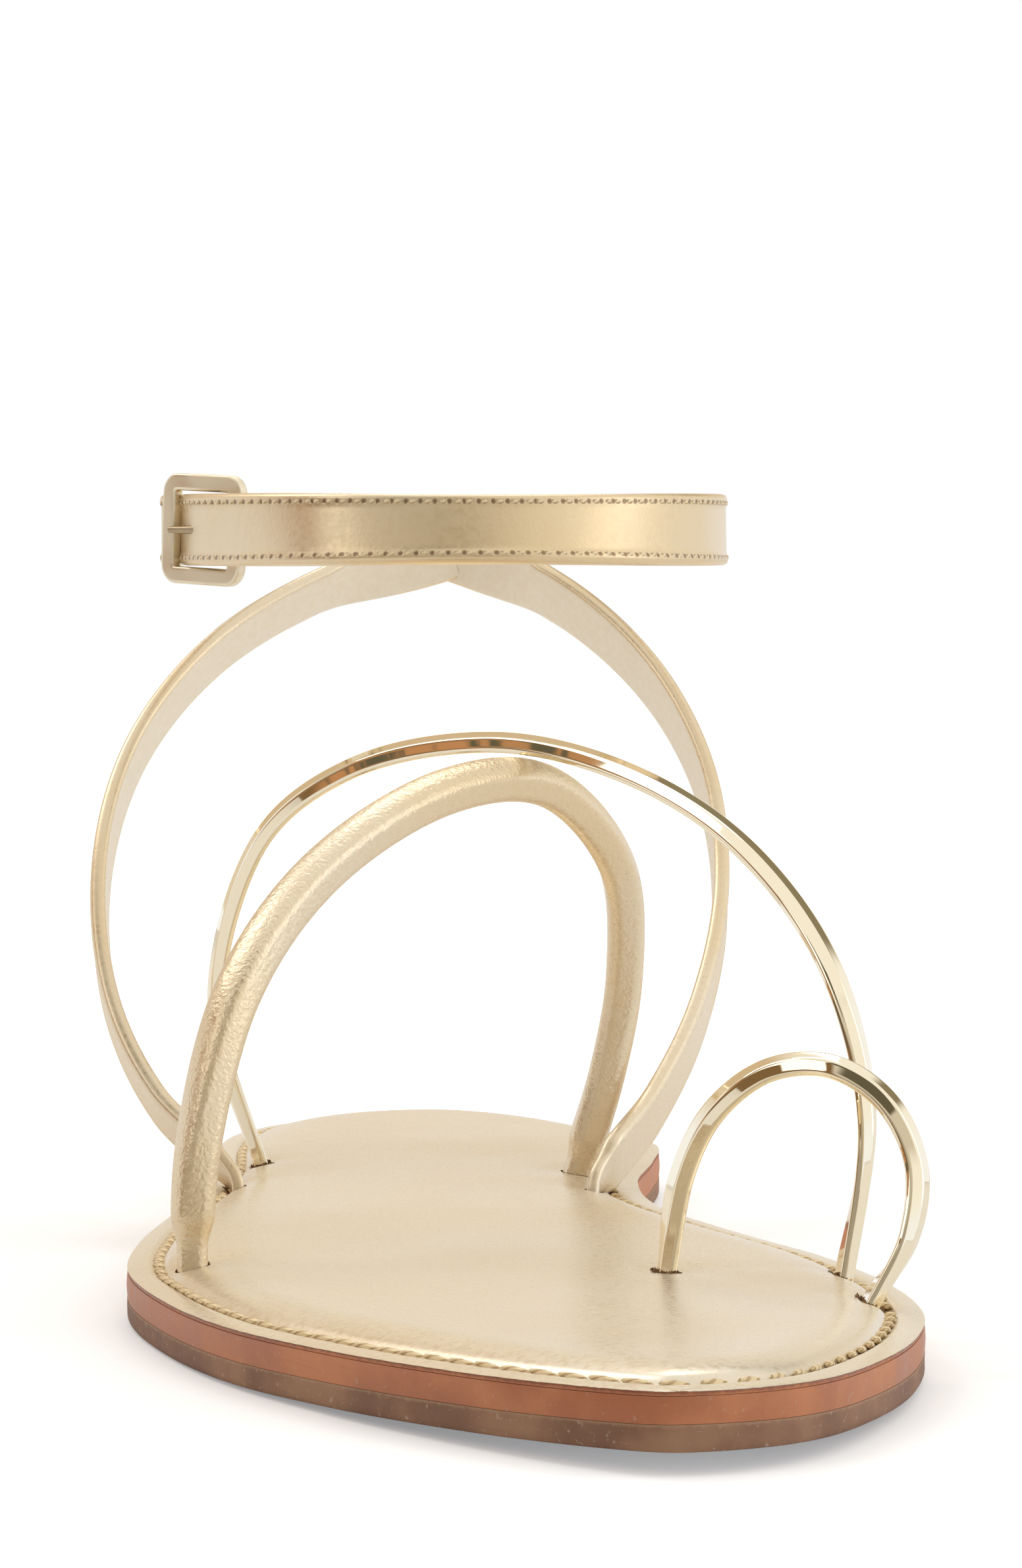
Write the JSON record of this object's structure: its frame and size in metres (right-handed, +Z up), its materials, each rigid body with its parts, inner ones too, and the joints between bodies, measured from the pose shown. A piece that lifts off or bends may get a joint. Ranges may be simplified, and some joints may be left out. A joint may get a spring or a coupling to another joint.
{
  "type": "strappy flat sandal",
  "caption": "Flat leather sandal for the right foot with a padded instep strap, a metal instep bar, a metal toe ring and a buckled ankle strap that crosses behind the heel.",
  "frame": {"origin": "on the floor under the middle of the sole's length, on the line from the heel's back to the toe's tip", "axes": "+Z up, toe towards -Y, heel towards +Y, big-toe (inner) side towards +X; right shoe"},
  "size_m": [0.088, 0.248, 0.0986],
  "materials": {
    "outsole": "matt brown cut edge with pale fibres",
    "midsole": "burnished tan cut edge",
    "insole": "pale gold metallic leather, fine grain",
    "padded_strap": "pale gold metallic leather, pebbled grain",
    "ankle_strap": "pale gold metallic leather with stitched rolled edges",
    "polished_metal": "mirror polished pale gold",
    "satin_metal": "satin pale gold"
  },
  "bodies": {
    "root": {"outsole": "outsole", "midsole": "midsole", "insole": "insole", "padded_strap": "padded_strap", "instep_bar": "polished_metal", "toe_ring": "polished_metal", "ankle_strap": "ankle_strap", "buckle_frame": "satin_metal", "buckle_prong": "satin_metal"}
  },
  "joints": []
}
